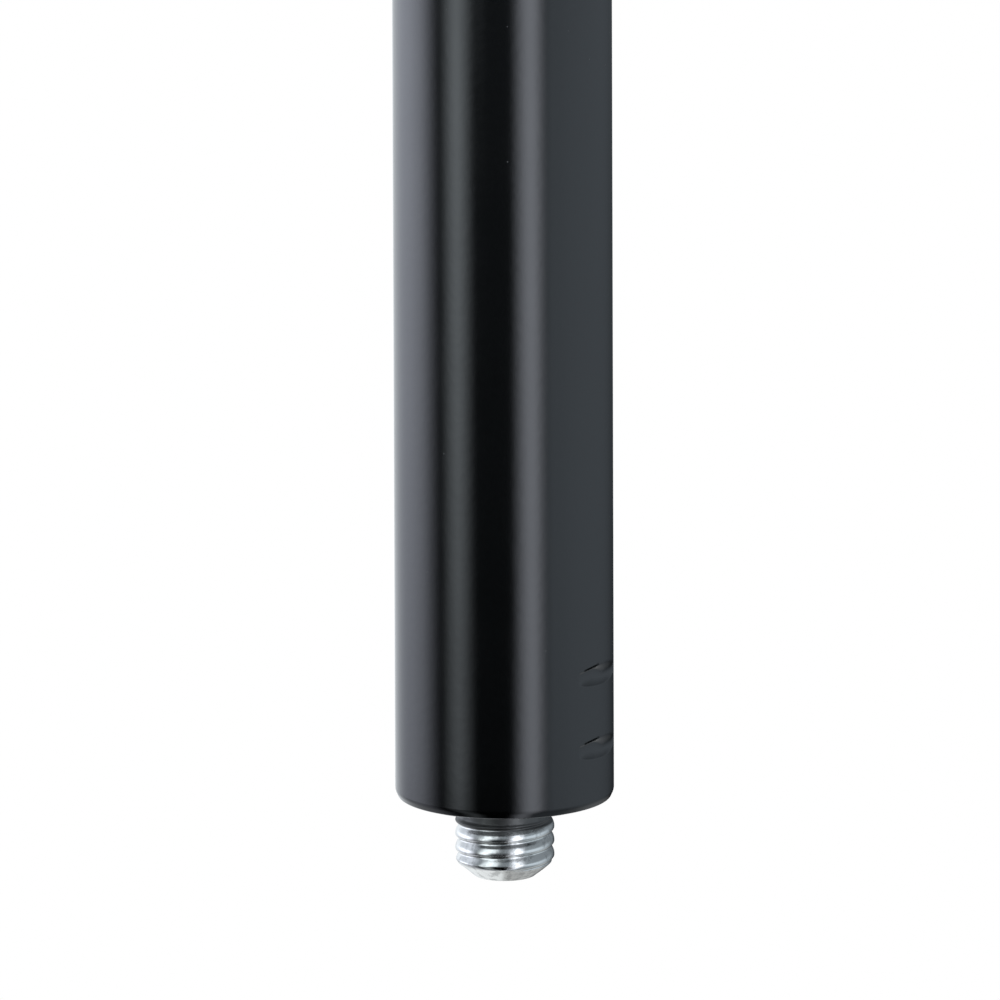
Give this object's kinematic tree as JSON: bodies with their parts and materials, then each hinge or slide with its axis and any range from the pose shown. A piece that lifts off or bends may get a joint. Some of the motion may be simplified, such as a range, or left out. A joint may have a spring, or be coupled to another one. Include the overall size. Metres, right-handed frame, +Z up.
{
  "type": "speaker pole",
  "caption": "Height adjustable loudspeaker pole: threaded foot, clamp collar with knob, locking pin, and a shouldered spigot for the speaker's socket.",
  "frame": {"origin": "centre of the seat under the lower tube, where the threaded stud leaves it", "axes": "+Z up along the pole; the clamp knob points along +X and the locking pin's head along -X"},
  "size_m": [0.1011, 0.056, 0.8727],
  "materials": {
    "black_enamel": "smooth glossy black enamel on steel tube",
    "zinc_steel": "bright zinc plated steel",
    "cast_black": "fine textured black powder coat on a die casting",
    "moulded_black": "satin black moulded nylon",
    "nylon": "natural nylon",
    "brass": "turned brass"
  },
  "bodies": {
    "lower_pole": {"lower_tube": "black_enamel", "end_plug": "zinc_steel", "threaded_stud": "zinc_steel", "guide_bush": "nylon", "clamp_collar": "cast_black", "collar_screw_front": "zinc_steel", "collar_screw_back": "zinc_steel", "threaded_insert": "brass"},
    "upper_pole": {"upper_tube": "black_enamel", "bottom_glide": "nylon", "glide_pin": "zinc_steel", "support_flange": "cast_black", "flange_pin": "zinc_steel", "adapter_sleeve": "moulded_black", "sleeve_rivet_front": "zinc_steel", "sleeve_rivet_back": "zinc_steel", "top_cap": "moulded_black"},
    "clamp_shoe": {"pressure_shoe": "nylon"},
    "clamp_knob": {"clamp_screw": "zinc_steel", "clamp_knob": "moulded_black", "knob_cap": "moulded_black"},
    "locking_pin": {"locking_pin": "zinc_steel", "pin_head": "moulded_black"}
  },
  "joints": [
    {"name": "height_slide", "type": "slide", "parent": "lower_pole", "child": "upper_pole", "axis": [0, 0, 1], "range_m": [0, 0.476]},
    {"name": "clamp_shoe_slide", "type": "slide", "parent": "lower_pole", "child": "clamp_shoe", "axis": [1, 0, 0], "range_m": [0, 0.00125]},
    {"name": "clamp_knob_turn", "type": "hinge", "parent": "clamp_shoe", "child": "clamp_knob", "pos_m": [0.05, 0, 0.7141], "axis": [1, 0, 0], "range_deg": [0, 360]},
    {"name": "locking_pin_pull", "type": "slide", "parent": "upper_pole", "child": "locking_pin", "axis": [-1, 0, 0], "range_m": [0, 0.045]}
  ],
  "couplings": [
    {"joint": "clamp_knob_turn", "follows": "clamp_shoe_slide", "rad_per_m": 5026.5}
  ]
}
